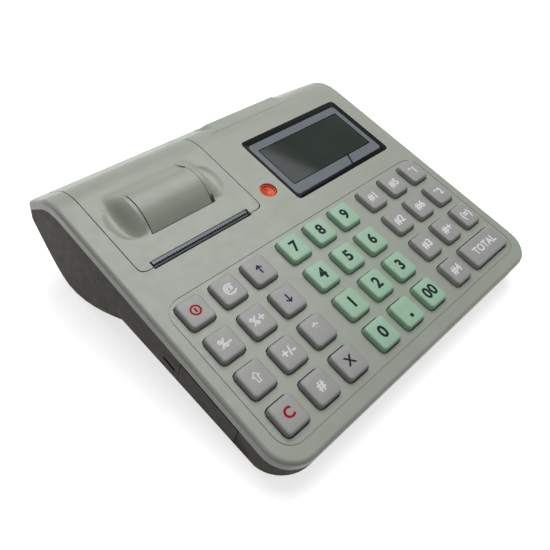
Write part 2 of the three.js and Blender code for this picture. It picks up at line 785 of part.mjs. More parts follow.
// Height of the humps beside the lever, which follow its back and then run out behind it.
function humpZ(y) {
  if (y < leverFront) return 0;
  if (y <= leverRear) return Math.max(leverZ(y) - humpDrop, 0);
  const run = rollStart - leverRear;
  const t = (y - leverRear) / run;
  const past = leverRear - humpCrest;
  const slope = -past / Math.sqrt(leverRadius ** 2 - past ** 2);
  const start = leverZ(leverRear) - humpDrop;
  return start * (2 * t ** 3 - 3 * t ** 2 + 1) + slope * run * (t ** 3 - 2 * t ** 2 + t);
}

function outsideLever(x) {
  return Math.max(leverLeft - leverGap - x, x - leverRight - leverGap, 0);
}

// Height of the lid around the lever: a hump on each side of it, and a dish outside each hump.
function lidTop(x, y) {
  const out = outsideLever(x);
  const near = Math.min(Math.max(1 - (out - pocketWall) / humpSpread, 0), 1);
  const along = (y - humpCrest + dishShift) / dishHalf;
  const bow = Math.sqrt(Math.max(1 - along ** 2, 0));
  const across = bow > 0 ? (out - dishInset) / (dishReach * bow) : 1;
  const dip = across > 0 && across < 1 ? dishDepth * bow * Math.sin(Math.PI * across) : 0;
  return humpZ(y) * near ** 2 * (3 - 2 * near) - dip;
}

function lidMound() {
  const left = lidLeft + moundMargin;
  const right = lidRight - moundMargin;
  const spread = (from, to, count) => Array.from({ length: count + 1 },
    (_, i) => from + (i / count) * (to - from));
  const columns = [
    ...spread(left, leverLeft - leverGap - pocketWall - seam, 11), leverLeft - leverGap - pocketWall,
    leverLeft - leverGap, leverRight + leverGap, leverRight + leverGap + pocketWall,
    ...spread(leverRight + leverGap + pocketWall + seam, right, 13),
  ];
  const rows = [leverFront - moundLead, ...spread(leverFront, rollStart, 18)];
  const positions = [];
  const faces = [];
  const bottomAt = (x, y) => (outsideLever(x) <= pocketWall + seam / 2 ? 0 : lidTop(x, y)) - wall;
  for (const heightAt of [bottomAt, lidTop]) {
    for (const y of rows) for (const x of columns) positions.push(x, y, heightAt(x, y));
  }
  const wide = columns.length;
  const top = wide * rows.length;
  const strip = (a, b) => faces.push(a, b, top + b, a, top + b, top + a);
  for (let j = 0; j + 1 < rows.length; j++) {
    for (let i = 0; i + 1 < wide; i++) {
      const a = j * wide + i;
      faces.push(a, a + wide, a + 1, a + 1, a + wide, a + wide + 1);
      faces.push(top + a, top + a + 1, top + a + wide, top + a + 1, top + a + wide + 1, top + a + wide);
    }
    strip((j + 1) * wide, j * wide);
    strip(j * wide + wide - 1, (j + 1) * wide + wide - 1);
  }
  for (let i = 0; i + 1 < wide; i++) {
    strip(i, i + 1);
    strip(top - wide + i + 1, top - wide + i);
  }
  const geometry = new THREE.BufferGeometry();
  geometry.setAttribute('position', new THREE.Float32BufferAttribute(positions, 3));
  geometry.setIndex(faces);
  return cut(solidOf(geometry), deckCut());
}

// The space over the deck behind the lever, which lies lower than the humps and meets the panel at
// its rear.
function deckCut() {
  const run = rollStart - leverRear;
  const steps = [0, 1, 2, 3, 4, 5, 6];
  const ys = steps.map((i) => leverRear + (i / (steps.length - 1)) * run);
  const deck = ys.map((y) => [y, humpZ(y) - deckDrop * (rollStart - y) / run]);
  return alongX([...deck, [rollStart, above], [leverRear, above]],
    leverLeft - leverGap, leverRight + leverGap);
}

function paperLid() {
  const outer = roofSolid(0, coverEdgeRadius, (y) => partingZ(y) + seam);
  const hollow = roofSolid(wall, coverHollowRadius, (y) => partingZ(y) - cutOverrun);
  const mound = box(lidLeft + moundMargin, lidRight - moundMargin,
    leverFront - moundLead, rollStart, below, above);
  const skin = join(cut(cut(outer, hollow).intersect(lidPrism(0, lidFront)), mound), lidMound());
  const tail = box(lidLeft - lidGap, lidRight + lidGap, hingeY - wall, rearReach + cutOverrun, below, hingeZ);
  const barrel = rodX(hingeBarrelRadius, lidLeft, lidRight, hingeY, hingeZ, 24);
  const pins = rodX(hingePinRadius, lidLeft - lidGap - hingePinLength, lidRight + lidGap + hingePinLength,
    hingeY, hingeZ);
  const deckFront = leverRear + deckGap;
  const tray = box(leverLeft - leverGap - pocketWall, leverRight + leverGap + pocketWall,
    leverFront - leverGap - pocketWall, deckFront + pocketWall, -pocketDepth - pocketWall, -wall / 2);
  const pocket = box(leverLeft - leverGap, leverRight + leverGap, leverFront - leverGap, deckFront,
    -pocketDepth, above);
  const leverPinHole = rodX(leverPinRadius + hingePinGap, leverLeft - leverGap - leverPinLength - hingePinGap,
    leverRight + leverGap + leverPinLength + hingePinGap, leverAxisY, leverAxisZ);
  const notch = box(leverRight, leverRight + leverGap + leverNotch[0], leverFront - leverGap,
    leverFront - leverGap + leverNotch[1], -leverNotch[2], above);
  const ledge = box(slotLeft + barEndGap, slotRight - barEndGap, ledgeFront, lidLipFront + 2 * wall,
    -barSink - barThickness - seam - wall / 2, -barSink - barThickness - seam);
  const lipCut = box(slotLeft, slotRight, lidFront - cutOverrun, lidLipFront, below, above);
  const lug = (x) => box(x, x + lugThickness, platenY - lugHalf, platenY + lugHalf,
    platenZ - lugHalf, -wall / 2);
  const shaftHole = rodX(shaftRadius + shaftGap, lidLeft, lidRight, platenY, platenZ);
  const body = join(cut(skin, tail), tray, barrel, pins);
  const lugs = join(lug(laneCentre - platenHalf - lugInset - lugThickness),
    lug(laneCentre + platenHalf + lugInset));
  return join(cut(body, pocket, leverPinHole, lipCut, notch), ledge, cut(lugs, shaftHole));
}

function releaseLever() {
  const steps = [0, 1, 2, 3, 4, 5, 6, 7, 8];
  const ys = steps.map((i) => leverFront + (i / 8) * (leverRear - leverFront));
  const back = ys.map((y) => [y, leverZ(y)]);
  const inside = ys.map((y) => [Math.max(y, leverFront + leverTuck), leverZ(y) - leverThickness]);
  const shell = alongX([...inside, ...back.reverse()], leverLeft, leverRight);
  const heel = [leverRear, leverZ(leverRear) - leverThickness - leverPinDrop];
  const toe = [leverFront + leverTuck, leverZ(leverFront) - leverThickness];
  const end = (x) => alongX([...ys.map((y) => [y, leverZ(y)]).reverse(), toe, heel], x, x + leverThickness);
  const pins = rodX(leverPinRadius, leverLeft - leverGap - leverPinLength,
    leverRight + leverGap + leverPinLength, leverAxisY, leverAxisZ);
  const gap = box(leverLeft + leverThickness, leverRight - leverThickness,
    leverFront, leverRear, below, above);
  return join(shell, end(leverLeft), end(leverRight - leverThickness), cut(pins, gap));
}

function tearBar() {
  const left = slotLeft + barEndGap;
  const right = slotRight - barEndGap;
  const count = Math.floor((right - left) / barToothPitch);
  const pitch = (right - left) / count;
  const shape = new THREE.Shape();
  shape.moveTo(right, barBack);
  shape.lineTo(left, barBack);
  for (let i = 0; i < count; i++) {
    shape.lineTo(left + i * pitch, barFront + barTooth);
    shape.lineTo(left + (i + 1 / 2) * pitch, barFront);
  }
  shape.lineTo(right, barFront + barTooth);
  const geometry = new THREE.ExtrudeGeometry(shape, { depth: barThickness, bevelEnabled: false });
  return solidOf(geometry.translate(0, 0, -barSink - barThickness));
}

// Printer

const gearLeft = laneCentre - platenHalf - lugInset - lugThickness - gearGap - gearWidth;
const shaftRight = laneCentre + platenHalf + lugInset + lugThickness + gearGap;
const plateLeft = gearLeft - gearGap - chassisWall;
const plateRight = shaftRight + gearGap;
const meshDistance = gearModule * (platenTeeth + driveTeeth) / 2 + gearBacklash;
const driveY = platenY + meshDistance * Math.cos(meshAngle);
const driveZ = platenZ + meshDistance * Math.sin(meshAngle);

function gear(teeth, phase, y, z, bore) {
  const pitch = 2 * Math.PI / teeth;
  const radius = gearModule * teeth / 2;
  const tip = radius + gearModule * toothShares.addendum;
  const root = radius - gearModule * toothShares.dedendum;
  const outline = [];
  for (let i = 0; i < teeth; i++) {
    const middle = phase + i * pitch;
    for (const [reach, share] of [[root, -toothShares.root], [tip, -toothShares.tip],
      [tip, toothShares.tip], [root, toothShares.root]]) {
      const angle = middle + share * pitch;
      outline.push([y + reach * Math.cos(angle), z + reach * Math.sin(angle)]);
    }
  }
  return cut(alongX(outline, gearLeft, gearLeft + gearWidth),
    rodX(bore, gearLeft - cutOverrun, gearLeft + gearWidth + cutOverrun, y, z));
}

function platenRoller() {
  return join(
    rodX(platenRadius, laneCentre - platenHalf, laneCentre + platenHalf, platenY, platenZ, 24),
    rodX(shaftRadius, gearLeft, shaftRight, platenY, platenZ));
}

function printerChassis() {
  const plate = (x) => box(x, x + chassisWall, chassisFront, binY - binRadius,
    chassisFloor - chassisFloorThickness, chassisTop);
  const floor = box(plateLeft, plateRight + chassisWall, chassisFront, binY - binRadius,
    chassisFloor - chassisFloorThickness, chassisFloor);
  const trough = (radius, top) => {
    const arc = [0, 1, 2, 3, 4, 5, 6, 7, 8, 9, 10, 11, 12].map((i) => Math.PI + (i / 12) * Math.PI);
    return [...arc.map((a) => [binY + radius * Math.cos(a), binZ + radius * Math.sin(a)]),
      [binY + radius, top], [binY - radius, top]];
  };
  const half = slotWidth / 2;
  const bin = cut(
    alongX(trough(binRadius + chassisWall, binTop),
      laneCentre - half - chassisWall, laneCentre + half + chassisWall),
    alongX(trough(binRadius, above), laneCentre - half, laneCentre + half),
    box(plateLeft, plateRight, chassisFront, binY - binRadius + chassisWall, binSideTop, above));
  const axle = rodX(shaftRadius - shaftGap, plateLeft, gearLeft + gearWidth, driveY, driveZ);
  return join(floor, plate(plateLeft), plate(plateRight), bin, axle);
}

function printHead() {
  const back = platenY - platenRadius - headGap;
  return box(laneCentre - platenHalf, laneCentre + platenHalf, back - headThickness, back,
    chassisFloor + seam, headTop);
}

// Ports

function portBlock() {
  const [reach, length, height] = portBlockSize;
  const middle = (hatchFront + hatchRear) / 2;
  const left = sideX + hatchThickness + wall;
  const top = boardBottom - seam;
  const [slotLength, slotHeight] = cardSlotSize;
  const slot = box(left - cutOverrun, left + cardSlotDepth, middle - slotLength / 2, middle + slotLength / 2,
    top - height / 2 - slotHeight / 2, top - height / 2 + slotHeight / 2);
  return cut(box(left, left + reach, middle - length / 2, middle + length / 2, top - height, top), slot);
}

function usbPort() {
  const left = sideX + wall + seam;
  const [y, z] = usbCentre;
  const [halfY, halfZ] = usbSize.map((size) => size / 2);
  const block = (grow, from, to) => box(from, to,
    y - halfY - grow, y + halfY + grow, z - halfZ - grow, z + halfZ + grow);
  return cut(block(usbShell, left, left + usbDepth),
    block(0, left - cutOverrun, left + usbDepth - usbShell));
}

// Assembly

const register = new THREE.Group();
register.rotation.x = panelTilt;

function add(name, solid, material) {
  const mesh = new THREE.Mesh(geometryOf(solid), material);
  mesh.name = name;
  register.add(mesh);
  return mesh;
}

add('top_cover', topCover(), coverGrey);
add('base_shell', baseShell(), baseGrey);
add('battery_door', batteryDoor(), baseGrey);
add('battery_pack', batteryPack(), batteryBlue);
add('side_hatch', sideHatch(), baseGrey);
add('port_block', portBlock(), steel);
add('usb_port', usbPort(), steel);
add('display_window', displayWindow(), windowBlack);
add('lcd_module', lcdModule(), lcdGreen);
add('customer_display', customerDisplay(), windowBlack);
add('seal_plug', sealPlug(), sealOrange);
add('keypad_mat', keypadMat(), keySilicone);
add('main_board', mainBoard(), boardGreen);
add('paper_lid', paperLid(), coverGrey);
add('lid_release_lever', releaseLever(), coverGrey);
add('tear_bar', tearBar(), barGrey);
add('platen_roller', platenRoller(), rubberBlack);
add('platen_gear', gear(platenTeeth, meshAngle, platenY, platenZ, shaftRadius + pressGap), gearWhite);
add('drive_gear', gear(driveTeeth, meshAngle + Math.PI + Math.PI / driveTeeth, driveY, driveZ,
  shaftRadius - shaftGap + axleGap), gearWhite);
add('printer_chassis', printerChassis(), chassisBlack);
add('print_head', printHead(), steel);
for (const [side, x] of [['left', -footX], ['right', footX]]) {
  add(`foot_front_${side}`, foot(x, frontFootY), rubberBlack);
  add(`foot_rear_${side}`, foot(x, rearFootY), rubberBlack);
}
for (const { name, x, y, width, material } of keys) {
  add(name, keyCap(width), material).position.set(x, y, 0);
}

// The origin is under the middle of the case, on the table.
register.position.z = standing;
register.position.y = -new THREE.Box3().setFromObject(register, true).getCenter(new THREE.Vector3()).y;

const ticketRegister = new THREE.Group();
ticketRegister.add(register);

export default ticketRegister;
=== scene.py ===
"""Ticket register: looks of a wedge-shaped portable register with keypad, display and drop-in printer.

Lengths are in millimetres in the properties and in metres in the meshes. The panel frame has X to
the right, Y to the rear along the sloping panel and Z out of it; its origin is on the middle of
the case, on the centre line of the rear row of keys.
"""

import json
import math

import bmesh
import bpy
from bpy.props import FloatProperty, FloatVectorProperty, PointerProperty
from mathutils import Matrix, Vector


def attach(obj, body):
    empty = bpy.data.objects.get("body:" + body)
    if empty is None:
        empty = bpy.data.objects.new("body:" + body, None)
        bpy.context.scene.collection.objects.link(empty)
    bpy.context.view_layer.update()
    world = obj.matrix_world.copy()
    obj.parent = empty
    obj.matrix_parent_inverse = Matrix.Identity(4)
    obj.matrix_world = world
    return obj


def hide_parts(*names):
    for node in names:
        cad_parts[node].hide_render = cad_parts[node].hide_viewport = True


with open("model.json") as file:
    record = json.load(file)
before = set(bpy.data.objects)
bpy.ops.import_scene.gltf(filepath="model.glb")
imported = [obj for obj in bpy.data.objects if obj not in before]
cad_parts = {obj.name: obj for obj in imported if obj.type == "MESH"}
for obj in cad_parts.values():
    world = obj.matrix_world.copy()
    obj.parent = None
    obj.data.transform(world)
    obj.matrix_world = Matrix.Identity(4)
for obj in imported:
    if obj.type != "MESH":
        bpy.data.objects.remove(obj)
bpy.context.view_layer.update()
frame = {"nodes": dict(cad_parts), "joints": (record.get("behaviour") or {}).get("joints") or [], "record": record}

bl_info = {
    "name": "Ticket register",
    "version": (1, 0, 0),
    "blender": (4, 5, 0),
    "location": "3D View > Sidebar > Register",
    "description": "Dresses the packed solids of a portable ticket register",
    "category": "Object",
}

MM = 0.001
CAD_NODES = frame["nodes"]
BODY_OF = {
    node: body for body, nodes in frame["record"]["behaviour"]["bodies"].items() for node in nodes
}
JOINTS = {joint["name"]: joint for joint in frame["joints"]}
HINGE_IN_PANEL = (105.0, -24.5)


def panel_matrix():
    """The panel frame in millimetres to the row frame in metres, from the key and lid joints."""
    press = JOINTS["key_power_press"]["axis"]
    turn = Matrix.Rotation(math.atan2(press[1], -press[2]), 4, "X")
    hinge = Vector(JOINTS["lid_hinge"]["pos_m"])
    shift = hinge - turn @ (Vector((0, *HINGE_IN_PANEL)) * MM)
    shift.x = 0
    return Matrix.Translation(shift) @ turn @ Matrix.Scale(MM, 4)


PANEL = panel_matrix()
PANEL_BACK = PANEL.inverted()


def srgb(hexadecimal):
    """A colour written as #RRGGBB, as linear red, green and blue."""
    parts = [int(hexadecimal[i : i + 2], 16) / 255 for i in (1, 3, 5)]
    return tuple(c / 12.92 if c <= 0.04045 else ((c + 0.055) / 1.055) ** 2.4 for c in parts)


def length(name, description, default, **limits):
    """A size in millimetres that the user may change."""
    return FloatProperty(name=name, description=description, default=default, min=0.0, **limits)


def colour(name, description, hexadecimal):
    """A colour that the user may change."""
    return FloatVectorProperty(
        name=name, description=description, default=srgb(hexadecimal),
        size=3, subtype="COLOR", min=0.0, max=1.0,
    )


class CaseSettings(bpy.types.PropertyGroup):
    """Colours and surface of the case."""

    cover: colour("Cover", "Moulded top cover, lid and lever", "#A3AA9D")
    base: colour("Base", "Moulded lower shell, hatch and battery door", "#3A342C")
    grain: length("Grain", "Spacing of the moulded texture in mm", 0.45)
    grain_depth: length("Grain depth", "Height of the moulded texture in mm", 0.012)


class KeySettings(bpy.types.PropertyGroup):
    """Shape and colours of the keys and their legends."""

    corner: length("Corner", "Corner radius of a key in mm", 2.4)
    edge: length("Edge", "Rounding of a key's upper edge in mm", 1.05)
    draft: length("Draft", "How far a key's side leans in, in mm", 0.35)
    grey: colour("Function keys", "Caps of the function keys", "#A3A3A1")
    green: colour("Number keys", "Caps of the number keys", "#A4CCAE")
    digits: colour("Digits", "Print on the number keys", "#16262E")
    legends: colour("Legends", "Print on the function keys", "#F6F8F8")
    red: colour("Red legends", "Print on the power and clear keys", "#B00818")
    navy: colour("Arrow legends", "Print on the arrow keys", "#101C58")
    print_height: length("Print height", "How far the print stands on a cap, in mm", 0.02)


class DisplaySettings(bpy.types.PropertyGroup):
    """The operator's window and the customer's window."""

    # The window black also paints the shade in a band round the display glass
    black: colour("Window black", "Print behind the window's edge", "#080C12")
    ring: colour("Window ring", "Grey print round the glass", "#7D868D")
    glass: colour("Display glass", "Liquid crystal panel without power", "#222E27")
    lens: colour("Plug", "Translucent orange plug", "#F05200")


class PrinterSettings(bpy.types.PropertyGroup):
    """The tear bar and the printer under the lid."""

    bar: colour("Tear bar", "Toothed strip at the paper slot", "#565D63")


class StageSettings(bpy.types.PropertyGroup):
    """Floor, light and camera."""

    floor: colour("Floor", "Pale floor, as the camera sees it", "#F4F4F4")
    bounce: colour("Bounce", "The floor's colour for the light that it throws back", "#707070")
    key_light: FloatProperty(
        name="Key light", description="Softbox over the panel", default=8.5, unit="POWER"
    )
    ambient: FloatProperty(name="Ambient", description="Strength of the room's light", default=0.17, min=0.0)


def settings():
    """The scene's property groups."""
    scene = bpy.context.scene
    return [getattr(scene, name) for name in GROUPS]


def add(tree, kind, inputs=None, **values):
    """Adds one node, sets its properties and its sockets, and links the sockets given as links."""
    node = tree.nodes.new(kind)
    for key, value in values.items():
        setattr(node, key, value)
    for key, value in (inputs or {}).items():
        if isinstance(value, bpy.types.NodeSocket):
            tree.links.new(value, node.inputs[key])
        else:
            node.inputs[key].default_value = value
    return node


def new_material(name):
    """An empty material with its output and shader, and the tree that holds them."""
    made = bpy.data.materials.new(name)
    made.use_nodes = True
    tree = made.node_tree
    tree.nodes.clear()
    shader = add(tree, "ShaderNodeBsdfPrincipled")
    add(tree, "ShaderNodeOutputMaterial", {"Surface": shader.outputs["BSDF"]})
    return made, tree, shader


def object_coordinates(tree, stretch=(1.0, 1.0, 1.0)):
    """The object's own coordinates in millimetres, stretched where a pattern has a direction."""
    place = add(tree, "ShaderNodeTexCoord").outputs["Object"]
    scale = tuple(s / MM for s in stretch)
    return add(tree, "ShaderNodeMapping", {"Vector": place, "Scale": scale}).outputs["Vector"]


def mottled(tree, place, base, spacing, strength):
    """base, made a little lighter and darker in soft patches of that spacing."""
    noise = add(tree, "ShaderNodeTexNoise", {"Vector": place, "Scale": 1 / spacing, "Detail": 2.0})
    light = tuple(min(1.0, c * (1 + strength)) for c in base)
    dark = tuple(c * (1 - strength) for c in base)
    ramp = add(tree, "ShaderNodeValToRGB", {"Fac": noise.outputs["Fac"]})
    ramp.color_ramp.elements[0].position = 0.35
    ramp.color_ramp.elements[1].position = 0.65
    ramp.color_ramp.elements[0].color = (*dark, 1)
    ramp.color_ramp.elements[1].color = (*light, 1)
    return ramp.outputs["Color"]


def roughness_between(tree, place, spacing, low, high):
    """Roughness that varies in patches of that spacing, as handling leaves it."""
    noise = add(tree, "ShaderNodeTexNoise", {"Vector": place, "Scale": 1 / spacing, "Detail": 2.0})
    spread = add(tree, "ShaderNodeMapRange", {"Value": noise.outputs["Fac"], "From Min": 0.3, "From Max": 0.7,
                                              "To Min": low, "To Max": high})
    return spread.outputs["Result"]


def grained(tree, place, spacing, depth):
    """Normals of a fine moulded grain of that spacing and depth in millimetres."""
    noise = add(tree, "ShaderNodeTexNoise", {"Vector": place, "Scale": 1 / spacing, "Detail": 2.0,
                                             "Roughness": 0.6})
    return add(tree, "ShaderNodeBump", {"Height": noise.outputs["Fac"], "Distance": depth * MM,
                                        "Strength": 1.0}).outputs["Normal"]


def moulded_plastic(name, base, grain, depth, rough, ior=1.53, mottle=0.03, patch=14.0, sheen=0.5):
    """Injection-moulded plastic with a spark-eroded grain: an even colour, a broad sheen and fine dots."""
    made, tree, shader = new_material(name)
    place = object_coordinates(tree)
    tree.links.new(mottled(tree, place, base, patch, mottle), shader.inputs["Base Color"])
    worn = roughness_between(tree, place, patch / 3, rough - 0.05, rough + 0.05)
    tree.links.new(worn, shader.inputs["Roughness"])
    tree.links.new(grained(tree, place, grain, depth), shader.inputs["Normal"])
    shader.inputs["IOR"].default_value = ior
    shader.inputs["Specular IOR Level"].default_value = sheen
    return made


def polished_print(name, base, rough=0.08):
    """Ink behind polished acrylic: the colour lies flat under one smooth clear face."""
    made, tree, shader = new_material(name)
    place = object_coordinates(tree)
    tree.links.new(mottled(tree, place, base, 6.0, 0.04), shader.inputs["Base Color"])
    tree.links.new(roughness_between(tree, place, 9.0, rough, rough + 0.05), shader.inputs["Roughness"])
    shader.inputs["IOR"].default_value = 1.49
    shader.inputs["Specular IOR Level"].default_value = 0.06
    return made


def screen_glass(name, base):
    """A liquid crystal panel without power: dark green-grey, a little lighter and darker in soft patches."""
    made, tree, shader = new_material(name)
    place = object_coordinates(tree)
    tree.links.new(mottled(tree, place, base, 26.0, 0.16), shader.inputs["Base Color"])
    tree.links.new(roughness_between(tree, place, 9.0, 0.05, 0.09), shader.inputs["Roughness"])
    shader.inputs["IOR"].default_value = 1.52
    shader.inputs["Specular IOR Level"].default_value = 0.14
    return made


def tinted_acrylic(name, base):
    """Cast translucent plastic: deep orange, glossy, light where it is thin."""
    made, tree, shader = new_material(name)
    place = object_coordinates(tree)
    tree.links.new(mottled(tree, place, base, 1.2, 0.22), shader.inputs["Base Color"])
    tree.links.new(grained(tree, place, 0.8, 0.05), shader.inputs["Normal"])
    shader.inputs["Roughness"].default_value = 0.16
    shader.inputs["IOR"].default_value = 1.49
    shader.inputs["Subsurface Weight"].default_value = 0.12
    shader.inputs["Subsurface Radius"].default_value = (1.0, 0.25, 0.08)
    shader.inputs["Subsurface Scale"].default_value = 1.5 * MM
    shader.inputs["Specular IOR Level"].default_value = 0.25
    return made


def rolled_metal(name, base, rough, direction):
    """Sheet metal with the fine lines of rolling along one direction."""
    made, tree, shader = new_material(name)
    place = object_coordinates(tree, direction)
    tree.links.new(mottled(tree, place, base, 3.0, 0.08), shader.inputs["Base Color"])
    tree.links.new(grained(tree, place, 0.5, 0.01), shader.inputs["Normal"])
    worn = roughness_between(tree, place, 4.0, rough - 0.06, rough + 0.06)
    tree.links.new(worn, shader.inputs["Roughness"])
    shader.inputs["Metallic"].default_value = 1.0
    return made


def moulded_rubber(name, base):
    """Black rubber: very matt, with a dusty bloom in patches."""
    made, tree, shader = new_material(name)
    place = object_coordinates(tree)
    tree.links.new(mottled(tree, place, base, 5.0, 0.25), shader.inputs["Base Color"])
    tree.links.new(grained(tree, place, 0.6, 0.03), shader.inputs["Normal"])
    tree.links.new(roughness_between(tree, place, 4.0, 0.75, 0.9), shader.inputs["Roughness"])
    shader.inputs["IOR"].default_value = 1.52
    return made


def soldermask(name, base):
    """Circuit board: green lacquer over copper lines on a fine grid."""
    made, tree, shader = new_material(name)
    place = object_coordinates(tree)
    bricks = add(tree, "ShaderNodeTexBrick", {"Vector": place, "Scale": 0.4, "Mortar Size": 0.03, "Bias": 0.0,
                                              "Color1": (*base, 1), "Color2": (*[c * 0.8 for c in base], 1),
                                              "Mortar": (*[min(1, c * 1.8) for c in base], 1)})
    tree.links.new(bricks.outputs["Color"], shader.inputs["Base Color"])
    tree.links.new(roughness_between(tree, place, 8.0, 0.25, 0.35), shader.inputs["Roughness"])
    shader.inputs["IOR"].default_value = 1.55
    return made


MATERIALS = {}


def make_materials():
    """All finishes of the register, from the colours in the settings."""
    case, keys, display, printer, _ = settings()
    grain, depth = case.grain, case.grain_depth
    fine, shallow = grain * 0.7, depth / 2
    MATERIALS.update(
        # Pale moulded case: an even sheen that brightens the humps and the edges
        cover=moulded_plastic("abs_cover_moulded", case.cover, grain, depth, 0.36),
        # Dark lower shell: coarse and dull, so that it stays near black beside the cover
        base=moulded_plastic("abs_base_moulded_coarse", case.base, grain * 1.5, depth * 2, 0.6, sheen=0.15),
        # Key caps: a finer satin than the case
        key_grey=moulded_plastic("abs_key_satin_grey", keys.grey, fine, shallow, 0.42, mottle=0.02),
        key_green=moulded_plastic("abs_key_satin_green", keys.green, fine, shallow, 0.42, mottle=0.02),
        # Pad printing: flat, dull ink that keeps its colour in the light
        ink_white=moulded_plastic("pad_print_white", keys.legends, 0.3, 0.004, 0.5, mottle=0.02, sheen=0.1),
        ink_dark=moulded_plastic("pad_print_dark", keys.digits, 0.3, 0.004, 0.5, mottle=0.05, sheen=0.1),
        ink_red=moulded_plastic("pad_print_red", keys.red, 0.3, 0.004, 0.5, mottle=0.05, sheen=0.1),
        ink_navy=moulded_plastic("pad_print_navy", keys.navy, 0.3, 0.004, 0.5, mottle=0.05, sheen=0.1),
        # Window: ink seen through polished acrylic, and a dark glass that is off; the black ink also paints the
        # shade in a band round the glass
        window_black=polished_print("acrylic_window_black_print_and_shade", display.black),
        window_ring=polished_print("acrylic_window_grey_print", display.ring, 0.12),
        lcd=screen_glass("liquid_crystal_glass", display.glass),
        # Plug: clear orange that glows at its thin ridges
        plug=tinted_acrylic("acrylic_plug_orange", display.lens),
        # Metal: rolled lines across the strip, and bright plated sockets
        bar=rolled_metal("steel_tear_bar_rolled", printer.bar, 0.52, (0.08, 1.0, 1.0)),
        steel=rolled_metal("steel_zinc_plated", srgb("#B9BDBF"), 0.34, (1.0, 0.1, 1.0)),
        # Rubber and silicone: no shine at all
        rubber=moulded_rubber("rubber_black_moulded", srgb("#242424")),
        silicone=moulded_rubber("silicone_mat_moulded", srgb("#55585A")),
        # Pieces under the lid and inside the case; the black frame finish also paints shade on the lid's ledge at
        # the tear bar, which is moulded in the cover's colour
        chassis=moulded_plastic("polycarbonate_frame_black_and_ledge_shade", srgb("#2A2C2E"), 0.6, 0.02, 0.5),
        gear=moulded_plastic("acetal_gear_white", srgb("#E0DED6"), 0.6, 0.004, 0.35, ior=1.48),
        board=soldermask("epoxy_board_soldermask", srgb("#1F5A3A")),
        battery=moulded_plastic("pvc_battery_sleeve", srgb("#2F4A78"), 2.5, 0.04, 0.3),
    )


def place_object(name, mesh, body, slot_name, *replaced):
    """Links a finished mesh as a piece of that body, in place of CAD nodes if any are given; the slot that it is
    given is not used.
    """
    made = bpy.data.objects.new(name, mesh)
    bpy.context.scene.collection.objects.link(made)
    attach(made, body)
    if replaced:
        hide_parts(*replaced)
    return made


def soften(mesh, degrees):
    """Shades a mesh smooth, with its edges sharp where they turn further than that."""
    mesh.polygons.foreach_set("use_smooth", [True] * len(mesh.polygons))
    mesh.set_sharp_from_angle(angle=math.radians(degrees))


def finished_mesh(bm, name, materials, degrees=35.0):
    """A bmesh in the panel frame, in millimetres, as a mesh in the row frame."""
    bmesh.ops.transform(bm, matrix=PANEL, verts=bm.verts)
    mesh = bpy.data.meshes.new(name)
    bm.to_mesh(mesh)
    bm.free()
    for each in materials:
        mesh.materials.append(each)
    soften(mesh, degrees)
    return mesh


def slot_of(node):
    """The record's material slot of a CAD node."""
    return next(part["material_slot"] for part in frame["record"]["subparts"] if part["node"] == node)


def dressed(node, material, degrees=33.0):
    """A CAD node as one smooth skin: doubles merged, flats kept flat, and its sharp edges kept."""
    bm = bmesh.new()
    bm.from_mesh(CAD_NODES[node].data)
    bmesh.ops.remove_doubles(bm, verts=bm.verts, dist=2e-6)
    bmesh.ops.dissolve_limit(bm, angle_limit=math.radians(0.4), verts=bm.verts, edges=bm.edges)
    mesh = bpy.data.meshes.new(node + "_skin")
    bm.to_mesh(mesh)
    bm.free()
    mesh.materials.append(material)
    soften(mesh, degrees)
    made = place_object(node + "_skin", mesh, BODY_OF[node], slot_of(node), node)
    weights = made.modifiers.new("flat_faces_kept", "WEIGHTED_NORMAL")
    weights.keep_sharp = True
    return made


def panel_box(node):
    """Lowest and highest corner of a CAD node in the panel frame, in millimetres."""
    places = [PANEL_BACK @ v.co for v in CAD_NODES[node].data.vertices]
    low = Vector(min(p[i] for p in places) for i in range(3))
    high = Vector(max(p[i] for p in places) for i in range(3))
    return low, high


def rounded_loop(half_x, half_y, corner, steps=6):
    """Points of a rounded rectangle about the origin, anticlockwise."""
    points = []
    for quarter in range(4):
        for step in range(steps + 1):
            turn = math.radians(90 * (quarter + step / steps))
            x, y = math.cos(turn), math.sin(turn)
            side_x = 1 if quarter in (0, 3) else -1
            side_y = 1 if quarter in (0, 1) else -1
            points.append((side_x * (half_x - corner) + corner * x, side_y * (half_y - corner) + corner * y))
    return points


def stack_loops(bm, loops, material_of=None):
    """Joins loops of equal length, each a list of points, into one closed skin from the first to the last."""
    rings = [[bm.verts.new(point) for point in loop] for loop in loops]
    for k in range(len(rings) - 1):
        count = len(rings[k])
        for i in range(count):
            j = (i + 1) % count
            face = bm.faces.new((rings[k][i], rings[k][j], rings[k + 1][j], rings[k + 1][i]))
            if material_of:
                face.material_index = material_of[k]
    face = bm.faces.new(rings[-1])
    if material_of:
        face.material_index = material_of[len(rings) - 1]
    bm.faces.new(list(reversed(rings[0])))


KEY_FLANGE = 1.2
KEY_SKIRT = -2.6


def group_input(tree, name, kind, default=None):
    """Adds a named input to a geometry node group."""
    socket = tree.interface.new_socket(name, in_out="INPUT", socket_type=kind)
    if default is not None:
        socket.default_value = default
    return socket


def arithmetic(tree, operation, *values):
    """One math node; its values are numbers or links."""
    return add(tree, "ShaderNodeMath", dict(enumerate(values)), operation=operation).outputs[0]


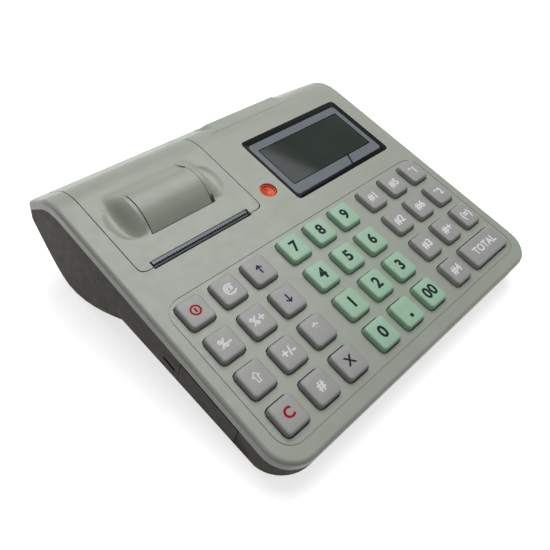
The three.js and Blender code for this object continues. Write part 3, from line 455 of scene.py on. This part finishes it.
def key_cap_tree():
    """A key cap by rule: a rounded rectangle that rises, leans in, turns over and closes flat."""
    tree = bpy.data.node_groups.new("key_cap", "GeometryNodeTree")
    tree.interface.new_socket("Geometry", in_out="OUTPUT", socket_type="NodeSocketGeometry")
    for name, default in (("Width", 13.6), ("Depth", 14.8), ("Height", 3.0), ("Skirt", -2.6),
                          ("Corner", 2.4), ("Edge", 1.0), ("Draft", 0.3)):
        group_input(tree, name, "NodeSocketFloat", default)
    group_input(tree, "Material", "NodeSocketMaterial")
    given = add(tree, "NodeGroupInput").outputs
    corner_steps, edge_steps, top_steps = 6, 5, 3
    around = 4 * (corner_steps + 1)
    rows = edge_steps + top_steps + 2
    grid = add(tree, "GeometryNodeMeshGrid", {"Size X": 1.0, "Size Y": 1.0, "Vertices X": around + 1,
                                              "Vertices Y": rows + 1})
    spot = add(tree, "ShaderNodeSeparateXYZ", {0: add(tree, "GeometryNodeInputPosition").outputs[0]})

    def count_along(axis, total):
        share = arithmetic(tree, "ADD", spot.outputs[axis], 0.5)
        return arithmetic(tree, "ROUND", arithmetic(tree, "MULTIPLY", share, float(total)))

    place = arithmetic(tree, "MODULO", count_along("X", around), float(around))
    quarter = arithmetic(tree, "FLOOR", arithmetic(tree, "DIVIDE", place, float(corner_steps + 1)))
    step = arithmetic(tree, "SUBTRACT", place, arithmetic(tree, "MULTIPLY", quarter, float(corner_steps + 1)))
    right_angle = math.pi / 2
    bent_share = arithmetic(tree, "DIVIDE", step, float(corner_steps))
    turn = arithmetic(tree, "MULTIPLY", arithmetic(tree, "ADD", quarter, bent_share), right_angle)
    middle = arithmetic(tree, "MULTIPLY", arithmetic(tree, "ADD", quarter, 0.5), right_angle)

    row = arithmetic(tree, "SUBTRACT", count_along("Y", rows), 1.0)
    rise = add(tree, "ShaderNodeClamp", {"Value": row}).outputs[0]
    over = add(tree, "ShaderNodeClamp", {"Value": arithmetic(
        tree, "DIVIDE", arithmetic(tree, "SUBTRACT", row, 1.0), float(edge_steps))}).outputs[0]
    bend = arithmetic(tree, "MULTIPLY", over, right_angle)
    lean = arithmetic(tree, "MULTIPLY", given["Draft"], rise)
    tuck = arithmetic(tree, "MULTIPLY", given["Edge"], arithmetic(
        tree, "SUBTRACT", 1.0, arithmetic(tree, "COSINE", bend)))
    inset = arithmetic(tree, "ADD", lean, tuck)
    shoulder = arithmetic(tree, "SUBTRACT", given["Height"], given["Edge"])
    wall = arithmetic(tree, "SUBTRACT", shoulder, given["Skirt"])
    side = arithmetic(tree, "MULTIPLY_ADD", wall, rise, given["Skirt"])
    height = arithmetic(tree, "MULTIPLY_ADD", given["Edge"], arithmetic(tree, "SINE", bend), side)
    past_edge = arithmetic(tree, "SUBTRACT", row, float(1 + edge_steps))
    beyond = arithmetic(tree, "DIVIDE", past_edge, float(top_steps - 1))
    below = arithmetic(tree, "LESS_THAN", row, -0.5)
    closing = arithmetic(tree, "ADD", add(tree, "ShaderNodeClamp", {"Value": beyond}).outputs[0], below)
    spread = arithmetic(tree, "SUBTRACT", 1.0, closing)
    corner = arithmetic(tree, "MAXIMUM", arithmetic(tree, "SUBTRACT", given["Corner"], inset), 0.3)

    def across(size, function):
        reach = arithmetic(tree, "SUBTRACT", arithmetic(tree, "DIVIDE", size, 2.0), inset)
        half = arithmetic(tree, "SUBTRACT", reach, corner)
        sign = arithmetic(tree, "SIGN", arithmetic(tree, function, middle))
        flat = arithmetic(tree, "MULTIPLY", half, sign)
        bent = arithmetic(tree, "MULTIPLY_ADD", corner, arithmetic(tree, function, turn), flat)
        return arithmetic(tree, "MULTIPLY", bent, spread)

    position = add(tree, "ShaderNodeCombineXYZ", {"X": across(given["Width"], "COSINE"),
                                                  "Y": across(given["Depth"], "SINE"), "Z": height})
    placed = add(tree, "GeometryNodeSetPosition", {"Geometry": grid.outputs["Mesh"],
                                                   "Position": position.outputs[0]})
    closed = add(tree, "GeometryNodeMergeByDistance", {"Geometry": placed.outputs[0], "Distance": 0.001})
    real = add(tree, "GeometryNodeRealizeInstances", {"Geometry": closed.outputs[0]})
    inked = add(tree, "GeometryNodeSetMaterial", {"Geometry": real.outputs[0], "Material": given["Material"]})
    add(tree, "NodeGroupOutput", {"Geometry": inked.outputs[0]})
    return tree


def made_by_tree(tree, name, values):
    """The mesh that a geometry node tree makes with these values for its named inputs."""
    holder = bpy.data.objects.new(name, bpy.data.meshes.new(name))
    bpy.context.scene.collection.objects.link(holder)
    modifier = holder.modifiers.new(tree.name, "NODES")
    modifier.node_group = tree
    identifiers = {item.name: item.identifier for item in tree.interface.items_tree if item.in_out == "INPUT"}
    for key, value in values.items():
        modifier[identifiers[key]] = value
    bpy.context.view_layer.update()
    evaluated = holder.evaluated_get(bpy.context.evaluated_depsgraph_get())
    mesh = bpy.data.meshes.new_from_object(evaluated)
    bpy.data.objects.remove(holder)
    return mesh


def outward(mesh):
    """Turns all faces of a closed mesh outwards."""
    bm = bmesh.new()
    bm.from_mesh(mesh)
    bmesh.ops.recalc_face_normals(bm, faces=bm.faces)
    bm.to_mesh(mesh)
    bm.free()


GREEN_KEYS = {"key_" + name for name in ("0", "1", "2", "3", "4", "5", "6", "7", "8", "9", "point", "00")}
LEGENDS = {
    "key_power": ("power", "ink_red", 5.4),
    "key_price": ("@", "ink_white", 6.0),
    "key_up": ("up", "ink_navy", 5.0),
    "key_percent_minus": ("%-", "ink_white", 6.0),
    "key_percent_plus": ("%+", "ink_white", 6.0),
    "key_down": ("down", "ink_navy", 5.0),
    "key_shift": ("shift", "ink_white", 5.2),
    "key_void": ("+/-", "ink_white", 6.0),
    "key_star": ("*", "ink_white", 8.0),
    "key_clear": ("C", "ink_red", 6.6),
    "key_lookup": ("#", "ink_white", 6.2),
    "key_multiply": ("X", "ink_dark", 6.0),
    "key_department_1": ("#1", "ink_white", 6.2),
    "key_department_2": ("#2", "ink_white", 6.2),
    "key_department_3": ("#3", "ink_white", 6.2),
    "key_department_4": ("#4", "ink_white", 6.2),
    "key_department_5": ("#5", "ink_white", 6.2),
    "key_department_6": ("#6", "ink_white", 6.2),
    "key_department_plus": ("#+", "ink_white", 6.2),
    "key_payment_1": ("*1", "ink_white", 6.2),
    "key_payment_2": ("*2", "ink_white", 6.2),
    "key_subtotal": ("(=)", "ink_white", 6.2),
    "key_total": ("TOTAL", "ink_white", 6.0),
    "key_point": (".", "ink_dark", 11.0),
    "key_00": ("00", "ink_dark", 8.2),
}
LEGENDS.update({f"key_{digit}": (str(digit), "ink_dark", 8.4) for digit in range(10)})


def circle_points(radius, count=40):
    """Points of a circle about the origin."""
    turns = [math.tau * i / count for i in range(count)]
    return [(radius * math.cos(turn), radius * math.sin(turn)) for turn in turns]


def sign_outlines(sign):
    """Closed outlines of a drawn sign one unit high."""
    if sign == "power":
        bar = [(-0.09, -0.22), (0.09, -0.22), (0.09, 0.22), (-0.09, 0.22)]
        return [circle_points(0.5), circle_points(0.33), bar]
    if sign in ("up", "down"):
        side = [(0.09, -0.5), (0.09, 0.2), (0.28, 0.01), (0.39, 0.14), (0.0, 0.5)]
        arrow = side + [(-x, y) for x, y in reversed(side[:-1])]
        return [arrow if sign == "up" else [(x, -y) for x, y in reversed(arrow)]]
    outer = [(0.2, -0.5), (0.2, 0.02), (0.46, 0.02), (0.0, 0.5)]
    inner = [(0.1, -0.4), (0.1, 0.12), (0.22, 0.12), (0.0, 0.36)]
    return [loop + [(-x, y) for x, y in reversed(loop[:-1])] for loop in (outer, inner)]


def sign_curve(name, sign, size):
    """A flat curve of a drawn sign of that height."""
    curve = bpy.data.curves.new(name, "CURVE")
    curve.dimensions = "2D"
    curve.fill_mode = "BOTH"
    for outline in sign_outlines(sign):
        spline = curve.splines.new("POLY")
        spline.points.add(len(outline) - 1)
        for point, (x, y) in zip(spline.points, outline):
            point.co = (x * size, y * size, 0, 1)
        spline.use_cyclic_u = True
    return curve


def letter_curve(name, words, size):
    """Plain characters of that size, centred."""
    curve = bpy.data.curves.new(name, "FONT")
    curve.body = words
    curve.size = size
    curve.align_x = "CENTER"
    curve.align_y = "CENTER"
    curve.offset = size * 0.036
    curve.space_character = 1.04
    curve.resolution_u = 4
    return curve


def flat_curve_mesh(curve, thickness):
    """A curve's filled face with that thickness, as a mesh."""
    curve.extrude = thickness
    holder = bpy.data.objects.new(curve.name, curve)
    bpy.context.scene.collection.objects.link(holder)
    bpy.context.view_layer.update()
    mesh = bpy.data.meshes.new_from_object(holder.evaluated_get(bpy.context.evaluated_depsgraph_get()))
    bpy.data.objects.remove(holder)
    return mesh


class REGISTER_OT_keys(bpy.types.Operator):
    """Makes the 35 key caps by rule and prints their legends"""

    bl_idname = "register.keys"
    bl_label = "Key caps and legends"

    def execute(self, context):
        keys = context.scene.register_keys
        tree = key_cap_tree()
        for node in sorted(n for n in CAD_NODES if n.startswith("key_")):
            low, high = panel_box(node)
            green = node in GREEN_KEYS
            mesh = made_by_tree(tree, node + "_cap", {
                "Width": high.x - low.x - 2 * KEY_FLANGE, "Depth": high.y - low.y - 2 * KEY_FLANGE,
                "Height": high.z, "Skirt": KEY_SKIRT, "Corner": keys.corner, "Edge": keys.edge,
                "Draft": keys.draft,
                "Material": MATERIALS["key_green" if green else "key_grey"]})
            outward(mesh)
            centre = (low + high) / 2
            mesh.transform(PANEL @ Matrix.Translation((centre.x, centre.y, 0)))
            soften(mesh, 60)
            place_object(node + "_cap", mesh, BODY_OF[node], slot_of(node), node)
            words, ink, size = LEGENDS[node]
            if words in ("power", "up", "down", "shift"):
                curve = sign_curve(node + "_legend", words, size)
            else:
                curve = letter_curve(node + "_legend", words, size)
            printed = flat_curve_mesh(curve, keys.print_height)
            printed.transform(PANEL @ Matrix.Translation((centre.x, centre.y, high.z)))
            printed.materials.clear()
            printed.materials.append(MATERIALS[ink])
            place_object(node + "_legend", printed, BODY_OF[node], slot_of(node))
        return {"FINISHED"}


# The window's print in the panel frame: grey ring, display glass, a black band round the glass that is painted
# shade of a sunken glass, and the cut in the ring
RING_SHIFT = (-0.5, -0.35)
RING_HALF = (35.75, 20.45)
VIEW_SHIFT = (-0.4, 0.25)
VIEW_HALF = (31.85, 14.15)
RECESS_SHADE_WIDTH = 0.7
RING_CUT_ENDS = ((58.05, 31.9), (55.2, 25.2))
RING_CUT_HALF = 0.5
INLAY_LIFTS = (-0.1, 0.02)


class REGISTER_OT_display(bpy.types.Operator):
    """Makes the operator's printed window and its glass"""

    bl_idname = "register.display"
    bl_label = "Display window"

    def execute(self, context):
        low, high = panel_box("display_window")
        centre = (low + high) / 2
        half_x, half_y = (high.x - low.x) / 2, (high.y - low.y) / 2

        def loop(middle, size, corner, z):
            return [(middle[0] + x, middle[1] + y, z) for x, y in rounded_loop(size[0], size[1], corner)]

        ring_middle = (centre.x + RING_SHIFT[0], centre.y + RING_SHIFT[1])
        view_middle = (centre.x + VIEW_SHIFT[0], centre.y + VIEW_SHIFT[1])
        recess_shade_edge = (VIEW_HALF[0] + RECESS_SHADE_WIDTH, VIEW_HALF[1] + RECESS_SHADE_WIDTH)
        top = high.z
        bm = bmesh.new()
        stack_loops(bm, [
            loop(centre, (half_x, half_y), 2.4, low.z),
            loop(centre, (half_x, half_y), 2.4, top - 0.25),
            loop(centre, (half_x - 0.08, half_y - 0.08), 2.3, top - 0.08),
            loop(centre, (half_x - 0.25, half_y - 0.25), 2.2, top),
            loop(ring_middle, RING_HALF, 2.0, top),
            # Painted shade: a black band between the grey ring and the glass, where a sunken glass would lie in
            # shadow
            loop(view_middle, recess_shade_edge, 1.0, top),
            loop(view_middle, VIEW_HALF, 0.6, top),
        ], [0, 0, 0, 0, 1, 0, 2])
        ends = [Vector(place) for place in RING_CUT_ENDS]
        across = (ends[1] - ends[0]).normalized().orthogonal() * RING_CUT_HALF
        corners = [ends[0] + across, ends[0] - across, ends[1] - across, ends[1] + across]
        stack_loops(bm, [[(c.x, c.y, top + z) for c in corners] for z in INLAY_LIFTS])
        bmesh.ops.recalc_face_normals(bm, faces=bm.faces)
        mesh = finished_mesh(bm, "display_window_print",
                             [MATERIALS["window_black"], MATERIALS["window_ring"], MATERIALS["lcd"]])
        place_object("display_window_print", mesh, "register_body", "window_black", "display_window")
        return {"FINISHED"}


def tint_faces(piece, material, low, high):
    """Gives a second finish to the faces of a piece that lie in a box of the panel frame, in millimetres; here it
    paints shade.
    """
    mesh = piece.data
    mesh.materials.append(material)
    last = len(mesh.materials) - 1
    for polygon in mesh.polygons:
        places = [PANEL_BACK @ mesh.vertices[i].co for i in polygon.vertices]
        if all(low[axis] <= p[axis] <= high[axis] for p in places for axis in range(3)):
            polygon.material_index = last


def ring_of(centre, radius, z, count=48):
    """A level circle about a centre in the panel frame."""
    return [(centre[0] + x, centre[1] + y, z) for x, y in circle_points(radius, count)]


def arc_ridge(bm, centre, radius, width, height, z, start, sweep, steps=18):
    """A half-round ridge along an arc that stands on a level face."""
    loops = []
    for step in range(steps + 1):
        turn = math.radians(start + sweep * step / steps)
        swell = math.sin(math.pi * step / steps) ** 0.5 if 0 < step < steps else 0.08
        loop = []
        for k in range(9):
            bend = math.pi * k / 8
            reach = radius + width / 2 * math.cos(bend) * swell
            loop.append((centre[0] + reach * math.cos(turn), centre[1] + reach * math.sin(turn),
                         z + height * math.sin(bend) * swell))
        loops.append(loop)
    stack_loops(bm, loops)


# The plug's radius, its profile as pairs of radius and depth below its rim, and its inner ridges
PLUG_RADIUS = 4.6
PLUG_ROOT = 1.0
PLUG_PROFILE = (
    (PLUG_RADIUS, 0.15), (4.45, 0.0), (4.0, 0.0), (3.75, 0.2), (3.6, 0.9), (2.6, 1.25), (0.4, 1.35),
)
PLUG_RIDGES = (2.55, 1.35)
PLUG_FLOOR = 1.4
CUSTOMER_GLASS_HALF = (22.0, 4.75)


class REGISTER_OT_details(bpy.types.Operator):
    """Makes the orange plug and the customer's glass"""

    bl_idname = "register.details"
    bl_label = "Plug and customer's glass"

    def execute(self, context):
        low, high = panel_box("seal_plug")
        centre = ((low + high) / 2).xy
        rings = [ring_of(centre, PLUG_RADIUS, low.z + PLUG_ROOT)]
        rings += [ring_of(centre, radius, high.z - depth) for radius, depth in PLUG_PROFILE]
        bm = bmesh.new()
        stack_loops(bm, rings)
        for radius in PLUG_RIDGES:
            arc_ridge(bm, centre, radius, 0.8, 0.6, high.z - PLUG_FLOOR, 20.0, 190.0)
        bmesh.ops.recalc_face_normals(bm, faces=bm.faces)
        mesh = finished_mesh(bm, "plug_lens", [MATERIALS["plug"]], 50)
        place_object("plug_lens", mesh, "register_body", slot_of("seal_plug"), "seal_plug")

        window = CAD_NODES["customer_display"].data
        face = max(window.polygons, key=lambda p: p.area * (1 if p.normal.z > 0 and p.normal.y > 0 else 0))
        normal = face.normal.copy()
        corners = [v.co for v in window.vertices]
        reach = max(c.dot(normal) for c in corners)
        middle = sum(corners, Vector()) / len(corners)
        middle += normal * (reach - middle.dot(normal))
        sideways = Vector((1, 0, 0))
        upward = normal.cross(sideways)
        bm = bmesh.new()
        outline = rounded_loop(*CUSTOMER_GLASS_HALF, 0.6)
        stack_loops(bm, [[middle + (sideways * x + upward * y + normal * lift) * MM for x, y in outline]
                         for lift in INLAY_LIFTS])
        bmesh.ops.recalc_face_normals(bm, faces=bm.faces)
        mesh = bpy.data.meshes.new("customer_glass")
        bm.to_mesh(mesh)
        bm.free()
        mesh.materials.append(MATERIALS["lcd"])
        place_object("customer_glass", mesh, "register_body", slot_of("customer_display"))
        return {"FINISHED"}


class REGISTER_OT_case(bpy.types.Operator):
    """Gives the case, the lid, the lever and the pieces inside them their skins and finishes"""

    bl_idname = "register.case"
    bl_label = "Case, lid and inner pieces"

    def execute(self, context):
        for node in ("top_cover", "lid_release_lever"):
            dressed(node, MATERIALS["cover"])
        lid = dressed("paper_lid", MATERIALS["cover"])
        # Painted shade: the lid's ledge in front of the tear bar is moulded in the cover's colour, but gets the
        # black frame finish because the slot lies in shadow
        low, high = panel_box("tear_bar")
        tint_faces(lid, MATERIALS["chassis"], (low.x - 2, low.y - 2, high.z - 4.0),
                   (high.x + 2, high.y + 1, low.z - 0.1))
        for node in ("base_shell", "battery_door", "side_hatch"):
            dressed(node, MATERIALS["base"])
        finishes = {
            "battery_pack": "battery", "port_block": "steel", "usb_port": "steel", "print_head": "steel",
            "lcd_module": "lcd", "customer_display": "window_black", "keypad_mat": "silicone",
            "main_board": "board", "tear_bar": "bar", "platen_roller": "rubber", "platen_gear": "gear",
            "drive_gear": "gear", "printer_chassis": "chassis", "foot_front_left": "rubber",
            "foot_front_right": "rubber", "foot_rear_left": "rubber", "foot_rear_right": "rubber",
        }
        for node, finish in finishes.items():
            dressed(node, MATERIALS[finish])
        return {"FINISHED"}


SOFT_BOX_PLACE = (0.3, 0.5, 0.95)
SOFT_BOX_SIZE = 0.9
CAMERA_TARGET = (-36.70466299, -5.51583749, 0.0)
CAMERA_AZIMUTH = -60.26727585
CAMERA_ELEVATION = 52.58538114
CAMERA_ROLL = 20.71227643
CAMERA_DISTANCE = 261.79991168
CAMERA_FOCAL_SHARE = 560.99725253 / 550


def soft_box(name, place, target, size, power):
    """A square area light at a place, turned to a target."""
    data = bpy.data.lights.new(name, "AREA")
    data.shape = "SQUARE"
    data.size = size
    data.energy = power
    made = bpy.data.objects.new(name, data)
    bpy.context.scene.collection.objects.link(made)
    made.location = place
    made.rotation_mode = "QUATERNION"
    made.rotation_quaternion = (Vector(target) - Vector(place)).to_track_quat("-Z", "Y")
    return made


class REGISTER_OT_stage(bpy.types.Operator):
    """Sets the pale floor, the soft studio light and the camera"""

    bl_idname = "register.stage"
    bl_label = "Floor, light and camera"

    def execute(self, context):
        stage = context.scene.register_stage
        scene = context.scene
        scene.view_settings.view_transform = "Standard"

        bm = bmesh.new()
        bmesh.ops.create_grid(bm, x_segments=2, y_segments=2, size=3.0)
        mesh = bpy.data.meshes.new("floor")
        bmesh.ops.translate(bm, vec=(0, 0, -0.0003), verts=bm.verts)
        bm.to_mesh(mesh)
        bm.free()
        floor = bpy.data.objects.new("floor", mesh)
        scene.collection.objects.link(floor)
        paint, tree, shader = new_material("painted_floor_pale")
        shader.inputs["Roughness"].default_value = 0.9
        shader.inputs["Specular IOR Level"].default_value = 0.1
        paths = add(tree, "ShaderNodeLightPath").outputs
        seen = arithmetic(tree, "MAXIMUM", paths["Is Camera Ray"],
                          arithmetic(tree, "MAXIMUM", paths["Is Glossy Ray"], paths["Is Transmission Ray"]))
        tint = add(tree, "ShaderNodeMix", {"Factor": seen, 6: (*stage.bounce, 1), 7: (*stage.floor, 1)},
                   data_type="RGBA")
        tree.links.new(tint.outputs[2], shader.inputs["Base Color"])
        shader.inputs["Emission Color"].default_value = (1.0, 1.0, 1.0, 1)
        tree.links.new(arithmetic(tree, "MULTIPLY", seen, 0.7), shader.inputs["Emission Strength"])
        mesh.materials.append(paint)

        world = bpy.data.worlds.new("studio")
        scene.world = world
        world.use_nodes = True
        tree = world.node_tree
        tree.nodes.clear()
        paths = add(tree, "ShaderNodeLightPath").outputs
        seen = arithmetic(tree, "MAXIMUM", paths["Is Camera Ray"],
                          arithmetic(tree, "MAXIMUM", paths["Is Glossy Ray"], paths["Is Transmission Ray"]))
        level = add(tree, "ShaderNodeMapRange", {"Value": seen, "To Min": stage.ambient, "To Max": 1.0})
        light = add(tree, "ShaderNodeBackground", {"Color": (1, 1, 1, 1), "Strength": level.outputs[0]})
        add(tree, "ShaderNodeOutputWorld", {"Surface": light.outputs[0]})

        turn = PANEL.to_3x3().normalized()
        middle = PANEL @ Vector((0, 0, 0))
        above = middle + turn @ Vector(SOFT_BOX_PLACE)
        soft_box("softbox_over_panel", above, middle, SOFT_BOX_SIZE, stage.key_light)

        azimuth, elevation, roll = (math.radians(a) for a in (CAMERA_AZIMUTH, CAMERA_ELEVATION, CAMERA_ROLL))
        back = Vector((math.sin(azimuth) * math.cos(elevation), -math.cos(azimuth) * math.cos(elevation),
                       math.sin(elevation)))
        level_right = Vector((math.cos(azimuth), math.sin(azimuth), 0))
        level_up = back.cross(level_right)
        right = math.cos(roll) * level_right + math.sin(roll) * level_up
        up = back.cross(right)
        place = PANEL @ (Vector(CAMERA_TARGET) + back * CAMERA_DISTANCE)
        data = bpy.data.cameras.new("camera")
        data.sensor_width = 36.0
        data.lens = data.sensor_width * CAMERA_FOCAL_SHARE
        data.clip_start = 0.01
        data.clip_end = 20.0
        camera = bpy.data.objects.new("camera", data)
        scene.collection.objects.link(camera)
        camera.rotation_mode = "QUATERNION"
        camera.rotation_quaternion = (turn @ Matrix((right, up, back)).transposed()).to_quaternion()
        camera.location = place
        scene.camera = camera
        return {"FINISHED"}


class REGISTER_PT_sidebar(bpy.types.Panel):
    """Lists the settings and the steps that make the register"""

    bl_idname = "REGISTER_PT_sidebar"
    bl_label = "Ticket register"
    bl_space_type = "VIEW_3D"
    bl_region_type = "UI"
    bl_category = "Register"

    def draw(self, context):
        for group in settings():
            box = self.layout.box()
            box.label(text=type(group).__doc__.strip())
            for name in type(group).__annotations__:
                box.prop(group, name)
        for operator in OPERATORS:
            self.layout.operator(operator.bl_idname)


GROUPS = {
    "register_case": CaseSettings, "register_keys": KeySettings, "register_display": DisplaySettings,
    "register_printer": PrinterSettings, "register_stage": StageSettings,
}
OPERATORS = (REGISTER_OT_stage, REGISTER_OT_case, REGISTER_OT_keys, REGISTER_OT_display, REGISTER_OT_details)


def register():
    """Registers the settings, the steps and the sidebar."""
    for group in GROUPS.values():
        bpy.utils.register_class(group)
    for name, group in GROUPS.items():
        setattr(bpy.types.Scene, name, PointerProperty(type=group))
    for each in (*OPERATORS, REGISTER_PT_sidebar):
        bpy.utils.register_class(each)


def unregister():
    """Removes what register added."""
    for each in (REGISTER_PT_sidebar, *reversed(OPERATORS)):
        bpy.utils.unregister_class(each)
    for name, group in GROUPS.items():
        delattr(bpy.types.Scene, name)
        bpy.utils.unregister_class(group)


def main():
    """Makes the register step by step."""
    register()
    make_materials()
    bpy.ops.register.stage()
    bpy.ops.register.case()
    bpy.ops.register.keys()
    bpy.ops.register.display()
    bpy.ops.register.details()


if __name__ == "__main__":
    main()
